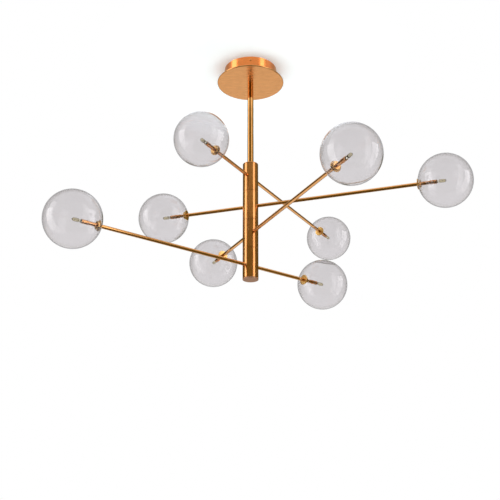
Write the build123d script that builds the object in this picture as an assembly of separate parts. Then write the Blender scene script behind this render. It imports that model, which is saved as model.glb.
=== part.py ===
from build123d import *

import os

# A ceiling light. A canopy carries a stem, and the stem ends in a hub of four stacked
# segments. Each segment turns about the stem and carries one straight level arm, which
# is long on one side and short on the other, with a clear glass globe on both ends.
#
# Millimetres, +Z up. The origin is the centre of the ceiling bracket's upper face, on
# the ceiling. The strap of the bracket lies along Y. Arm angles are measured about +Z
# from +X to the long end of the arm, and arm rises from the middle of the segment.

# ---- driving dimensions ----

CANOPY_HEIGHT = 45.0
PLATE_RADIUS = 101.0
PLATE_THICKNESS = 4.0
PLATE_EDGE_RADIUS = 1.9
DRUM_RADIUS = 80.0
DRUM_WALL = 1.5

STEM_LENGTH = 275.0
STEM_RADIUS = 9.0
STEM_WALL = 1.5

HUB_RADIUS = 22.5
HUB_CAP_THICKNESS = 3.0
HUB_CAP_ROUND = 1.5
SEGMENT_PITCH = 88.5
SEGMENT_GAP = 0.4
SLEEVE_WALL = 1.5
SLEEVE_CHAMFER = 0.4

ARM_ANGLES = (61.2, -18.8, -65.0, -141.9)
ARM_RISES = (5.0, 0.0, 4.0, -5.0)
LONG_REACH = 560.0
SHORT_REACH = 275.0
ARM_RADIUS = 5.0
ARM_WALL = 1.0

GLOBE_RADIUS = 75.0
GLASS_WALL = 1.6
GLASS_HOLE_RADIUS = 11.3

# ---- fits ----

SLIP = 0.05
CLEAR = 0.1

# ---- ceiling bracket and canopy ----

STRAP_WIDTH = 24.0
STRAP_THICKNESS = 2.0
STRAP_END = 76.5
EAR_DROP = 20.0
CEILING_HOLE_RADIUS = 2.75
CEILING_HOLE_SPACING = 100.0
CABLE_HOLE_RADIUS = 6.0
SIDE_SCREW_LEVEL = -12.0
SIDE_SCREW_RADIUS = 2.0
SIDE_SCREW_HEAD_RADIUS = 3.0
SIDE_SCREW_HEAD = 1.5
SIDE_SCREW_INNER = 70.0

DRIVER_SIZE = (40.0, 88.0, 22.0)
DRIVER_X = 41.0
DRIVER_CORNER = 3.0
TERMINAL_SIZE = (17.0, 34.0, 13.0)
TERMINAL_X = -46.0
TERMINAL_POLES = 3
TERMINAL_PITCH = 10.0
TERMINAL_HOLE_RADIUS = 1.6
TERMINAL_SCREW_RADIUS = 2.2
TERMINAL_SCREW_DEPTH = 3.0

# ---- stem joint ----

NIPPLE_RADIUS = 5.0
NIPPLE_BORE = 3.2
NIPPLE_TOP = -31.0
NIPPLE_BOTTOM = -60.0
BUSH_LENGTH = 18.0
WASHER_RADIUS = 10.0
WASHER_THICKNESS = 1.5
NUT_FLATS = 17.0
NUT_HEIGHT = 4.0
LEAD_RADIUS = 1.0
LEAD_OFFSET = 1.3
STEM_LEAD_TOP = -27.0

# ---- hub ----

SPINDLE_RADIUS = 8.0
SPINDLE_BORE = 5.5
SPINDLE_NECK = 21.5
SPINDLE_TAIL = 5.0
STEM_SEAT = 1.5
WINDOW_RADIUS = 3.0
CARRIER_FLANGE = 12.0
CARRIER_WAIST_RADIUS = 18.0
CHAMBER_RADIUS = 11.0
CHAMBER_HALF_HEIGHT = 20.0
COUNTERBORE_RADIUS = 15.0
COUNTERBORE_DEPTH = 10.0
FRICTION_WASHER_RADIUS = 20.0
FRICTION_WASHER_THICKNESS = 0.3
SPINDLE_NUT_FLATS = 22.0
SPINDLE_NUT_HEIGHT = 6.0
CAP_BOSS_RADIUS = 5.4
CAP_BOSS_LENGTH = 9.0

# ---- arm ends, as distances from the globe's centre towards the hub ----

ARM_INNER_END = 11.5
FLANGE_RADIUS = 15.0
FLANGE_OUTER = 76.0
FLANGE_INNER = 74.4
COLLAR_RADIUS = 11.0
COLLAR_INNER = 67.0
HOLDER_SPIGOT = 88.0
HOLDER_SPIGOT_RADIUS = 3.95
HOLDER_BORE = 3.2
HOLDER_RING_OUTER = 41.5
HOLDER_RING_INNER = 39.5
HOLDER_RING_RADIUS = 5.9
HOLDER_CUP_RADIUS = 5.4
HOLDER_CUP_BORE = 4.5
HOLDER_CUP_FLOOR = 38.0
HOLDER_LIP = 24.0
SOCKET_RADIUS = 4.4
SOCKET_BACK = 37.5
SOCKET_FRONT = 22.0
SOCKET_HOLE_RADIUS = 0.6
SOCKET_HOLE_OFFSET = 2.0
SOCKET_HOLE_DEPTH = 8.0
LAMP_BASE = 21.9
LAMP_NECK = 18.0
LAMP_NECK_RADIUS = 3.6
LAMP_SHOULDER = 16.5
LAMP_RADIUS = 4.6
LAMP_DOME = 3.0
LAMP_TIP = -4.0
LAMP_PIP_RADIUS = 0.7
ARM_LEAD_RADIUS = 0.8

# ---- worked out from the above ----

PLATE_LOW = -CANOPY_HEIGHT
PLATE_HIGH = PLATE_LOW + PLATE_THICKNESS
DRUM_FLOOR = PLATE_HIGH + DRUM_WALL
HUB_TOP = PLATE_LOW - STEM_LENGTH
STACK_TOP = HUB_TOP - HUB_CAP_THICKNESS
STACK_BOTTOM = STACK_TOP - len(ARM_ANGLES) * SEGMENT_PITCH - SEGMENT_GAP
HUB_BOTTOM = STACK_BOTTOM - HUB_CAP_THICKNESS
STEM_BOTTOM = HUB_TOP - STEM_SEAT
SEGMENT_HALF = (SEGMENT_PITCH - SEGMENT_GAP) / 2
FLANGE_FLOOR = SEGMENT_HALF - CARRIER_FLANGE
SLEEVE_BORE = HUB_RADIUS - SLEEVE_WALL
SPINDLE_BOTTOM = STACK_BOTTOM + SPINDLE_TAIL


def segment_middle(index):
    """Height of the middle of segment 0, 1, 2 or 3, counted from the top."""
    return STACK_TOP - SEGMENT_GAP / 2 - (index + 0.5) * SEGMENT_PITCH


def arm_level(index):
    """Height of the arm of segment 0, 1, 2 or 3."""
    return segment_middle(index) + ARM_RISES[index]


# ---- shapes used more than once ----


def ring(outer, inner, low, high):
    """A tube on the Z axis."""
    height = high - low
    middle = Location((0, 0, (low + high) / 2))
    return middle * (Cylinder(outer, height) - Cylinder(inner, height))


def rod(radius, low, high):
    """A round bar on the Z axis."""
    return Location((0, 0, (low + high) / 2)) * Cylinder(radius, high - low)


def turned(corners):
    """A turned piece on the Z axis, from (radius, height) corners."""
    outline = Polyline([(radius, 0, height) for radius, height in corners], close=True)
    return revolve(make_face(outline), Axis.Z)


def block(size, centre):
    """A box about a centre."""
    return Location(centre) * Box(*size)


def cross_bar(radius, length, centre, axis):
    """A round bar of the given length along X or Y, about a centre."""
    turn = (0, 90, 0) if axis == "X" else (90, 0, 0)
    return Location(centre, turn) * Cylinder(radius, length)


def hex_nut(flats, bore, low, high):
    """A hexagonal nut on the Z axis."""
    prism = extrude(RegularPolygon(flats / 2, 6, major_radius=False), high - low)
    return Location((0, 0, low)) * prism - rod(bore, low, high)


def joined(pieces):
    """One node of several separate solids."""
    return Compound(children=list(pieces))


# ---- canopy ----


def ceiling_bracket():
    """Strap along Y with a hole for each ceiling screw and two tapped ears."""
    body = block((STRAP_WIDTH, 2 * STRAP_END, STRAP_THICKNESS), (0, 0, -STRAP_THICKNESS / 2))
    for side in (-1, 1):
        ear_y = side * (STRAP_END - STRAP_THICKNESS / 2)
        body += block((STRAP_WIDTH, STRAP_THICKNESS, EAR_DROP), (0, ear_y, -EAR_DROP / 2))
    for side in (-1, 1):
        hole_y = side * CEILING_HOLE_SPACING / 2
        body -= Location((0, hole_y, 0)) * Cylinder(CEILING_HOLE_RADIUS, 3 * STRAP_THICKNESS)
    body -= Cylinder(CABLE_HOLE_RADIUS, 3 * STRAP_THICKNESS)
    body -= cross_bar(SIDE_SCREW_RADIUS + SLIP, 3 * STRAP_END, (0, 0, SIDE_SCREW_LEVEL), "Y")
    return body


def canopy_drum():
    """Spun cup, open at the ceiling, with a hole for the nipple and for each side screw."""
    cup = turned([
        (NIPPLE_RADIUS + CLEAR, PLATE_HIGH),
        (DRUM_RADIUS, PLATE_HIGH),
        (DRUM_RADIUS, 0),
        (DRUM_RADIUS - DRUM_WALL, 0),
        (DRUM_RADIUS - DRUM_WALL, DRUM_FLOOR),
        (NIPPLE_RADIUS + CLEAR, DRUM_FLOOR),
    ])
    return cup - cross_bar(SIDE_SCREW_RADIUS + CLEAR, 3 * DRUM_RADIUS, (0, 0, SIDE_SCREW_LEVEL), "Y")


def canopy_plate():
    """Round cover plate, wider than the drum, with a rounded rim."""
    disc = rod(PLATE_RADIUS, PLATE_LOW, PLATE_HIGH)
    disc = fillet(disc.edges().filter_by(GeomType.CIRCLE), PLATE_EDGE_RADIUS)
    return disc - rod(NIPPLE_RADIUS + CLEAR, PLATE_LOW, PLATE_HIGH)


def side_screw(side):
    """Pan-head screw through the drum into an ear of the bracket."""
    shank_length = DRUM_RADIUS - SIDE_SCREW_INNER
    shank_y = side * (SIDE_SCREW_INNER + shank_length / 2)
    head_y = side * (DRUM_RADIUS + SIDE_SCREW_HEAD / 2)
    shank = cross_bar(SIDE_SCREW_RADIUS, shank_length, (0, shank_y, SIDE_SCREW_LEVEL), "Y")
    head = cross_bar(SIDE_SCREW_HEAD_RADIUS, SIDE_SCREW_HEAD, (0, head_y, SIDE_SCREW_LEVEL), "Y")
    return shank + head


def led_driver():
    """Twelve volt driver in a plastic case, on the floor of the drum."""
    centre = (DRIVER_X, 0, DRUM_FLOOR + DRIVER_SIZE[2] / 2)
    case = block(DRIVER_SIZE, centre)
    return fillet(case.edges().filter_by(Axis.Z), DRIVER_CORNER)


def terminal_block():
    """Three-pole terminal block, with its wire holes and screw wells."""
    body = block(TERMINAL_SIZE, (TERMINAL_X, 0, DRUM_FLOOR + TERMINAL_SIZE[2] / 2))
    top = DRUM_FLOOR + TERMINAL_SIZE[2]
    for pole in range(TERMINAL_POLES):
        y = (pole - (TERMINAL_POLES - 1) / 2) * TERMINAL_PITCH
        wire_hole = (TERMINAL_X, y, DRUM_FLOOR + TERMINAL_SIZE[2] / 3)
        body -= cross_bar(TERMINAL_HOLE_RADIUS, 2 * TERMINAL_SIZE[0], wire_hole, "X")
        well = rod(TERMINAL_SCREW_RADIUS, top - TERMINAL_SCREW_DEPTH, top)
        body -= Location((TERMINAL_X, y, 0)) * well
    return body


# ---- stem ----


def stem_tube():
    """Tube from the canopy plate down into the hub's top cap."""
    return ring(STEM_RADIUS, STEM_RADIUS - STEM_WALL, STEM_BOTTOM, PLATE_LOW)


def stem_top_bush():
    """Threaded bush pressed into the top of the stem."""
    outer = STEM_RADIUS - STEM_WALL - SLIP
    return ring(outer, NIPPLE_RADIUS + SLIP, PLATE_LOW - BUSH_LENGTH, PLATE_LOW)


def threaded_nipple():
    """Hollow threaded nipple that ties the stem, plate and drum together."""
    return ring(NIPPLE_RADIUS, NIPPLE_BORE, NIPPLE_BOTTOM, NIPPLE_TOP)


def nipple_nut():
    """Washer and hexagonal nut inside the drum."""
    washer_top = DRUM_FLOOR + WASHER_THICKNESS
    washer = ring(WASHER_RADIUS, NIPPLE_RADIUS + CLEAR, DRUM_FLOOR, washer_top)
    nut = hex_nut(NUT_FLATS, NIPPLE_RADIUS + SLIP, washer_top, washer_top + NUT_HEIGHT)
    return joined([washer, nut])


def stem_leads():
    """The pair of low-voltage leads from the canopy down to the lowest arm."""
    low = arm_level(len(ARM_ANGLES) - 1)
    lead = rod(LEAD_RADIUS, low, STEM_LEAD_TOP)
    return joined([Location((side * LEAD_OFFSET, 0, 0)) * lead for side in (-1, 1)])


# ---- hub, the part that stands still ----


def hub_spindle():
    """Hollow spindle that the segments turn on, with a wire window at each arm."""
    neck_radius = STEM_RADIUS - STEM_WALL - SLIP
    body = turned([
        (SPINDLE_BORE, SPINDLE_BOTTOM),
        (SPINDLE_RADIUS, SPINDLE_BOTTOM),
        (SPINDLE_RADIUS, STEM_BOTTOM),
        (neck_radius, STEM_BOTTOM),
        (neck_radius, STEM_BOTTOM + SPINDLE_NECK),
        (SPINDLE_BORE, STEM_BOTTOM + SPINDLE_NECK),
    ])
    for index in range(len(ARM_ANGLES)):
        window_centre = (0, 0, arm_level(index))
        body -= cross_bar(WINDOW_RADIUS, 4 * SPINDLE_RADIUS, window_centre, "X")
    return body


def hub_top_cap():
    """Cap over the first segment, recessed for the end of the stem."""
    disc = rod(HUB_RADIUS, STACK_TOP, HUB_TOP)
    disc = fillet(disc.edges().filter_by(GeomType.CIRCLE).group_by(Axis.Z)[-1], HUB_CAP_ROUND)
    disc -= rod(SPINDLE_RADIUS + SLIP, STACK_TOP, HUB_TOP)
    return disc - rod(STEM_RADIUS + SLIP, STEM_BOTTOM, HUB_TOP)


def friction_washers():
    """Thin washer above each segment and below the last, which make them turn stiffly."""
    washers = []
    for index in range(len(ARM_ANGLES) + 1):
        middle = STACK_TOP - SEGMENT_GAP / 2 - index * SEGMENT_PITCH
        low = middle - FRICTION_WASHER_THICKNESS / 2
        high = middle + FRICTION_WASHER_THICKNESS / 2
        bore = SPINDLE_RADIUS + CLEAR if index < len(ARM_ANGLES) else COUNTERBORE_RADIUS
        washers.append(ring(FRICTION_WASHER_RADIUS, bore, low, high))
    return joined(washers)


def spindle_nut():
    """Lock nut on the spindle, inside the counterbore of the lowest segment."""
    high = STACK_BOTTOM + SEGMENT_GAP + COUNTERBORE_DEPTH - CLEAR
    return hex_nut(SPINDLE_NUT_FLATS, SPINDLE_RADIUS + SLIP, high - SPINDLE_NUT_HEIGHT, high)


def hub_bottom_cap():
    """Flat end disc with a boss that screws into the spindle."""
    disc = rod(HUB_RADIUS, HUB_BOTTOM, STACK_BOTTOM)
    disc = chamfer(disc.edges().filter_by(GeomType.CIRCLE).group_by(Axis.Z)[0], SLEEVE_CHAMFER)
    return disc + rod(CAP_BOSS_RADIUS, STACK_BOTTOM, STACK_BOTTOM + CAP_BOSS_LENGTH)


# ---- one segment of the hub, modelled about its middle ----


def hub_sleeve(rise):
    """Outer tube of a segment, with a hole for the arm on each side."""
    inner_edge = HUB_RADIUS - SLEEVE_CHAMFER
    edge_height = SEGMENT_HALF - SLEEVE_CHAMFER
    body = turned([
        (SLEEVE_BORE, -SEGMENT_HALF),
        (inner_edge, -SEGMENT_HALF),
        (HUB_RADIUS, -edge_height),
        (HUB_RADIUS, edge_height),
        (inner_edge, SEGMENT_HALF),
        (SLEEVE_BORE, SEGMENT_HALF),
    ])
    return body - cross_bar(ARM_RADIUS + SLIP, 3 * HUB_RADIUS, (0, 0, rise), "X")


def arm_carrier(rise):
    """Turned core of a segment: two bearing flanges, a wire chamber and the arm sockets."""
    bore = SPINDLE_RADIUS + SLIP
    rim = SLEEVE_BORE - SLIP
    counterbore_floor = COUNTERBORE_DEPTH - SEGMENT_HALF
    body = turned([
        (COUNTERBORE_RADIUS, -SEGMENT_HALF),
        (rim, -SEGMENT_HALF),
        (rim, -FLANGE_FLOOR),
        (CARRIER_WAIST_RADIUS, -FLANGE_FLOOR),
        (CARRIER_WAIST_RADIUS, FLANGE_FLOOR),
        (rim, FLANGE_FLOOR),
        (rim, SEGMENT_HALF),
        (bore, SEGMENT_HALF),
        (bore, CHAMBER_HALF_HEIGHT),
        (CHAMBER_RADIUS, CHAMBER_HALF_HEIGHT),
        (CHAMBER_RADIUS, -CHAMBER_HALF_HEIGHT),
        (bore, -CHAMBER_HALF_HEIGHT),
        (bore, counterbore_floor),
        (COUNTERBORE_RADIUS, counterbore_floor),
    ])
    return body - cross_bar(ARM_RADIUS + SLIP, 3 * HUB_RADIUS, (0, 0, rise), "X")


# ---- one side of an arm, modelled along +X at the height of the arm ----


def outward(piece):
    """Turn a piece made on the Z axis so that it lies along +X."""
    return Rotation(0, 90, 0) * piece


def arm_tube(reach):
    """Straight tube from the segment's chamber to the globe."""
    return outward(ring(ARM_RADIUS, ARM_RADIUS - ARM_WALL, ARM_INNER_END, reach - FLANGE_OUTER))


def globe_flange(reach):
    """Thin disc outside the glass, with the collar that the glass is cemented to."""
    bore = ARM_RADIUS + SLIP
    return outward(turned([
        (bore, reach - FLANGE_OUTER),
        (FLANGE_RADIUS, reach - FLANGE_OUTER),
        (FLANGE_RADIUS, reach - FLANGE_INNER),
        (COLLAR_RADIUS, reach - FLANGE_INNER),
        (COLLAR_RADIUS, reach - COLLAR_INNER),
        (bore, reach - COLLAR_INNER),
    ]))


def lamp_holder(reach):
    """Turned tube inside the globe: spigot, stem, ring and the cup for the socket."""
    return outward(turned([
        (HOLDER_BORE, reach - HOLDER_SPIGOT),
        (HOLDER_SPIGOT_RADIUS, reach - HOLDER_SPIGOT),
        (HOLDER_SPIGOT_RADIUS, reach - FLANGE_OUTER),
        (ARM_RADIUS, reach - FLANGE_OUTER),
        (ARM_RADIUS, reach - HOLDER_RING_OUTER),
        (HOLDER_RING_RADIUS, reach - HOLDER_RING_OUTER),
        (HOLDER_RING_RADIUS, reach - HOLDER_RING_INNER),
        (HOLDER_CUP_RADIUS, reach - HOLDER_RING_INNER),
        (HOLDER_CUP_RADIUS, reach - HOLDER_LIP),
        (HOLDER_CUP_BORE, reach - HOLDER_LIP),
        (HOLDER_CUP_BORE, reach - HOLDER_CUP_FLOOR),
        (HOLDER_BORE, reach - HOLDER_CUP_FLOOR),
    ]))


def lamp_socket(reach):
    """Ceramic two-pin socket in the holder's cup."""
    front = reach - SOCKET_FRONT
    body = rod(SOCKET_RADIUS, reach - SOCKET_BACK, front)
    for side in (-1, 1):
        pin_hole = rod(SOCKET_HOLE_RADIUS, front - SOCKET_HOLE_DEPTH, front)
        body -= Location((0, side * SOCKET_HOLE_OFFSET, 0)) * pin_hole
    return outward(body)


def lamp_capsule(reach):
    """Small clear capsule lamp with a pinched base and a drawn-out tip."""
    outline = Polyline(
        (0, 0, reach - LAMP_BASE),
        (LAMP_NECK_RADIUS, 0, reach - LAMP_BASE),
        (LAMP_NECK_RADIUS, 0, reach - LAMP_NECK),
        (LAMP_RADIUS, 0, reach - LAMP_SHOULDER),
        (LAMP_RADIUS, 0, reach - LAMP_DOME),
    )
    dome = Spline(
        (LAMP_RADIUS, 0, reach - LAMP_DOME),
        (LAMP_PIP_RADIUS, 0, reach - LAMP_TIP),
        tangents=((0, 0, 1), (-1, 0, 1)),
    )
    close = Polyline(
        (LAMP_PIP_RADIUS, 0, reach - LAMP_TIP),
        (0, 0, reach - LAMP_TIP),
        (0, 0, reach - LAMP_BASE),
    )
    return outward(revolve(make_face([outline, dome, close]), Axis.Z))


def glass_globe(reach):
    """Clear blown globe with one round hole, facing the hub."""
    centre = Location((reach, 0, 0))
    shell = centre * Sphere(GLOBE_RADIUS) - centre * Sphere(GLOBE_RADIUS - GLASS_WALL)
    hole_x = reach - GLOBE_RADIUS
    return shell - cross_bar(GLASS_HOLE_RADIUS, GLOBE_RADIUS, (hole_x, 0, 0), "X")


def arm_leads(reach):
    """The two wires along one side of an arm, from the chamber to the socket."""
    wire = outward(rod(ARM_LEAD_RADIUS, ARM_INNER_END, reach - HOLDER_CUP_FLOOR))
    return [Location((0, side * LEAD_OFFSET, 0)) * wire for side in (-1, 1)]


def both_sides(make):
    """A piece on the long side and its twin on the short side, as one node."""
    return joined([make(LONG_REACH), Rotation(0, 0, 180) * make(SHORT_REACH)])


def arm_parts(number, rise):
    """Every node of one segment and its arm, by name, with the arm along X at height zero."""
    opposite = Rotation(0, 0, 180)
    segment = Location((0, 0, -rise))
    short_leads = [opposite * wire for wire in arm_leads(SHORT_REACH)]
    return {
        f"hub_sleeve_{number}": segment * hub_sleeve(rise),
        f"arm_carrier_{number}": segment * arm_carrier(rise),
        f"long_arm_tube_{number}": arm_tube(LONG_REACH),
        f"short_arm_tube_{number}": opposite * arm_tube(SHORT_REACH),
        f"globe_flanges_{number}": both_sides(globe_flange),
        f"lamp_holders_{number}": both_sides(lamp_holder),
        f"lamp_sockets_{number}": both_sides(lamp_socket),
        f"lamp_capsules_{number}": both_sides(lamp_capsule),
        f"arm_leads_{number}": joined(arm_leads(LONG_REACH) + short_leads),
        f"long_glass_globe_{number}": glass_globe(LONG_REACH),
        f"short_glass_globe_{number}": opposite * glass_globe(SHORT_REACH),
    }


# ---- the whole light ----


def all_parts():
    """Every node of the light, by name, in its place."""
    parts = {
        "ceiling_bracket": ceiling_bracket(),
        "canopy_side_screws": joined([side_screw(-1), side_screw(1)]),
        "canopy_drum": canopy_drum(),
        "canopy_plate": canopy_plate(),
        "led_driver": led_driver(),
        "terminal_block": terminal_block(),
        "stem_tube": stem_tube(),
        "stem_top_bush": stem_top_bush(),
        "threaded_nipple": threaded_nipple(),
        "nipple_nut": nipple_nut(),
        "stem_leads": stem_leads(),
        "hub_spindle": hub_spindle(),
        "hub_top_cap": hub_top_cap(),
        "friction_washers": friction_washers(),
        "spindle_nut": spindle_nut(),
        "hub_bottom_cap": hub_bottom_cap(),
    }
    for index, (angle, rise) in enumerate(zip(ARM_ANGLES, ARM_RISES)):
        place = Location((0, 0, arm_level(index)), (0, 0, angle))
        for name, piece in arm_parts(index + 1, rise).items():
            parts[name] = place * piece
    return parts


def main():
    os.makedirs("parts", exist_ok=True)
    for name, piece in all_parts().items():
        export_step(piece, f"parts/{name}.step")


main()
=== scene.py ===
"""Looks of a ceiling light with a canopy, a stem, a turning stacked hub and eight clear globes.

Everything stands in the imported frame: metres, with +Z up and the ceiling at zero. Pieces at
the end of an arm are made with +X along the arm, away from the hub, and then put in place.
"""

import logging
import math
import random
from collections.abc import Iterable
from dataclasses import dataclass, field, replace
from enum import Enum

import bmesh
import bpy
from mathutils import Euler, Matrix, Vector


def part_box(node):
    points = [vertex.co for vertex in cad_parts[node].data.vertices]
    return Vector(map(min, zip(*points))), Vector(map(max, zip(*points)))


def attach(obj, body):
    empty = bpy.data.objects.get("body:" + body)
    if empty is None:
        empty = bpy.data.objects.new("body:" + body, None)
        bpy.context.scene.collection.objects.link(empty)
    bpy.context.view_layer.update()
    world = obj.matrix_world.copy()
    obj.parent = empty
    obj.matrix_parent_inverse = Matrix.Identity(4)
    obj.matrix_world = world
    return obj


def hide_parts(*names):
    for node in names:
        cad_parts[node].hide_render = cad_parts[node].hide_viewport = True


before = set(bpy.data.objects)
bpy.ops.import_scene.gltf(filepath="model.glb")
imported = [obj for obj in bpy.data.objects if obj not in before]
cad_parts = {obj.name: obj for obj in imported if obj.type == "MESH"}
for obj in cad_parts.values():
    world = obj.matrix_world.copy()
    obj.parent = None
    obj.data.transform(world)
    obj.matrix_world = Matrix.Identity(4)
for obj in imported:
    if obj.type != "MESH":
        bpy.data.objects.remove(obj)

LOG = logging.getLogger("ceiling_light")
MM = 0.001
SMOOTH_ANGLE = math.radians(35.0)
PATTERN_LOW = 0.3
PATTERN_HIGH = 0.7
# A ray through one glass wall crosses two skins, and up to three with a turn inside it.
WALL_CROSSINGS = 2.0
ONE_WALL_CROSSINGS = 3.5
ON_AXIS = 1e-7

Point = tuple[float, float]
Corner = tuple[float, float, float]
Colour = tuple[float, float, float]
Tone = tuple[float, float, float, float]
Source = bpy.types.NodeSocket

EVEN: Colour = (1.0, 1.0, 1.0)
WHITE: Tone = (1.0, 1.0, 1.0, 1.0)


class Grain(Enum):
    """Which way the fine lines of a finish run."""

    AROUND = "around the piece's own axis"
    ALONG_X = "along X"
    ALONG_Z = "along Z"


class Side(Enum):
    """One of the two sides of an arm."""

    LONG = "long"
    SHORT = "short"


# ---- finishes ----


class Mixer:
    """A material being made, with short calls for the few nodes that the finishes use."""

    def __init__(self, name: str) -> None:
        """Start an empty material around one principled shader.

        Args:
            name: Name of the new material.
        """
        self.material = bpy.data.materials.new(name)
        self.material.use_nodes = True
        self.nodes = self.material.node_tree.nodes
        self.links = self.material.node_tree.links
        self.shader = self.nodes["Principled BSDF"]

    def set(self, **values: object) -> None:
        """Set constants straight on the shader's own sockets.

        Args:
            values: Socket names with underscores for spaces, and their values.
        """
        for key, value in values.items():
            self.shader.inputs[key.replace("_", " ")].default_value = value

    def drive(self, socket: str, source: Source) -> None:
        """Join a varying value to one of the shader's sockets.

        Args:
            socket: The shader's socket.
            source: The output that feeds it.
        """
        self.links.new(source, self.shader.inputs[socket])

    def place(self, stretch: Colour, turn: float = 0.0) -> Source:
        """Give coordinates that are turned about Z and then stretched.

        Args:
            stretch: Factors along the three turned axes.
            turn: Angle of the piece's X axis about Z, in radians.

        Returns:
            The stretched coordinates.
        """
        where = self.nodes.new("ShaderNodeTexCoord").outputs["Object"]
        turned = self.nodes.new("ShaderNodeMapping")
        turned.inputs["Rotation"].default_value = (0.0, 0.0, -turn)
        self.links.new(where, turned.inputs["Vector"])
        scaled = self.nodes.new("ShaderNodeMapping")
        scaled.inputs["Scale"].default_value = stretch
        self.links.new(turned.outputs["Vector"], scaled.inputs["Vector"])
        return scaled.outputs["Vector"]

    def noise(self, where: Source, scale: float, detail: float = 3.0) -> Source:
        """Give a cloudy pattern.

        Args:
            where: Coordinates.
            scale: How many clouds there are to a unit.
            detail: How many finer layers are added.

        Returns:
            The pattern's value, about one half on average.
        """
        node = self.nodes.new("ShaderNodeTexNoise")
        node.inputs["Scale"].default_value = scale
        node.inputs["Detail"].default_value = detail
        self.links.new(where, node.inputs["Vector"])
        return node.outputs["Fac"]

    def spread(self, source: Source, low: float, high: float) -> Source:
        """Spread the middle of a cloudy pattern over a range.

        Args:
            source: The pattern.
            low: Value where the pattern is lowest.
            high: Value where the pattern is highest.

        Returns:
            The spread value.
        """
        node = self.nodes.new("ShaderNodeMapRange")
        node.inputs["From Min"].default_value = PATTERN_LOW
        node.inputs["From Max"].default_value = PATTERN_HIGH
        node.inputs["To Min"].default_value = low
        node.inputs["To Max"].default_value = high
        self.links.new(source, node.inputs["Value"])
        return node.outputs["Result"]

    def tint(self, source: Source, first: Colour, second: Colour) -> Source:
        """Blend two colours by a pattern.

        Args:
            source: The pattern.
            first: Colour where the pattern is low.
            second: Colour where the pattern is high.

        Returns:
            The blended colour.
        """
        ramp = self.nodes.new("ShaderNodeValToRGB")
        ramp.color_ramp.elements[0].position = PATTERN_LOW
        ramp.color_ramp.elements[1].position = PATTERN_HIGH
        ramp.color_ramp.elements[0].color = (*first, 1.0)
        ramp.color_ramp.elements[1].color = (*second, 1.0)
        self.links.new(source, ramp.inputs["Fac"])
        return ramp.outputs["Color"]

    def raise_by(self, source: Source, depth: float, strength: float) -> None:
        """Turn a pattern into fine relief.

        Args:
            source: The pattern.
            depth: Height of the relief, in metres.
            strength: How much of it shows, from zero to one.
        """
        bump = self.nodes.new("ShaderNodeBump")
        bump.inputs["Strength"].default_value = strength
        bump.inputs["Distance"].default_value = depth
        self.links.new(source, bump.inputs["Height"])
        self.drive("Normal", bump.outputs["Normal"])


def shade(colour: Colour, factor: float) -> Colour:
    """Give a colour made lighter or darker.

    Args:
        colour: The colour.
        factor: What each channel is multiplied by.

    Returns:
        The new colour, with no channel above one.
    """
    return tuple(min(1.0, channel * factor) for channel in colour)


@dataclass(frozen=True)
class BrushedMetal:
    """Lacquered or bare metal with fine lines, faint clouding and a little wear."""

    name: str
    colour: Colour
    roughness: float
    grain: Grain = Grain.ALONG_Z
    line_pitch: float = 0.5 * MM
    line_length: float = 60.0 * MM
    relief: float = 0.01 * MM
    relief_strength: float = 0.08
    clouding: float = 0.06
    coat: float = 0.0
    coat_roughness: float = 0.12
    cloud_scale: float = 70.0

    def stretch(self) -> Colour:
        """Work out how the coordinates are stretched, to draw clouds out into lines.

        Returns:
            The factors along X, Y and Z.
        """
        across = 1.0 / self.line_pitch
        along = 1.0 / self.line_length
        factors = {
            Grain.AROUND: (along, along, across),
            Grain.ALONG_X: (along, across, across),
            Grain.ALONG_Z: (across, across, along),
        }
        return factors[self.grain]

    def another(self, number: int) -> "BrushedMetal":
        """Give the same finish as it comes out on another part.

        Args:
            number: The part's number.

        Returns:
            The finish, a little lighter or darker and a little glossier or duller.
        """
        drift = random.Random(number)
        return replace(
            self,
            name=f"{self.name}_{number}",
            colour=shade(self.colour, drift.uniform(0.93, 1.04)),
            roughness=self.roughness * drift.uniform(0.85, 1.2),
        )

    def make(self, turn: float = 0.0) -> bpy.types.Material:
        """Make the material.

        Args:
            turn: Angle of the piece's X axis about Z, in radians.

        Returns:
            The finished material.
        """
        mixer = Mixer(self.name)
        mixer.set(Metallic=1.0, Coat_Weight=self.coat, Coat_Roughness=self.coat_roughness)
        lines = mixer.noise(mixer.place(self.stretch(), turn), 1.0, 4.0)
        clouds = mixer.noise(mixer.place(EVEN), self.cloud_scale, 5.0)
        low = shade(self.colour, 1.0 - self.clouding)
        high = shade(self.colour, 1.0 + self.clouding)
        mixer.drive("Base Color", mixer.tint(clouds, low, high))
        mixer.drive("Roughness", mixer.spread(lines, 0.8 * self.roughness, 1.25 * self.roughness))
        mixer.raise_by(lines, self.relief, self.relief_strength)
        return mixer.material


@dataclass(frozen=True)
class ClearGlass:
    """Clear glass with the slow waviness of blown glass and a trace of smoke."""

    name: str
    colour: Colour
    waviness: float = 0.002
    wave_scale: float = 28.0
    wave_stretch: Colour = (1.0, 1.0, 1.6)
    wave_height: float = 0.4 * MM
    variation: float = 0.004
    index: float = 1.32

    def make(self) -> bpy.types.Material:
        """Make the material.

        Returns:
            The finished material.
        """
        mixer = Mixer(self.name)
        mixer.set(Transmission_Weight=1.0, IOR=self.index, Roughness=0.0)
        waves = mixer.noise(mixer.place(self.wave_stretch), self.wave_scale, 1.0)
        low = shade(self.colour, 1.0 - self.variation)
        high = shade(self.colour, 1.0 + self.variation)
        mixer.drive("Base Color", mixer.tint(waves, low, high))
        mixer.raise_by(waves, self.wave_height, self.waviness)
        return mixer.material


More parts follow.
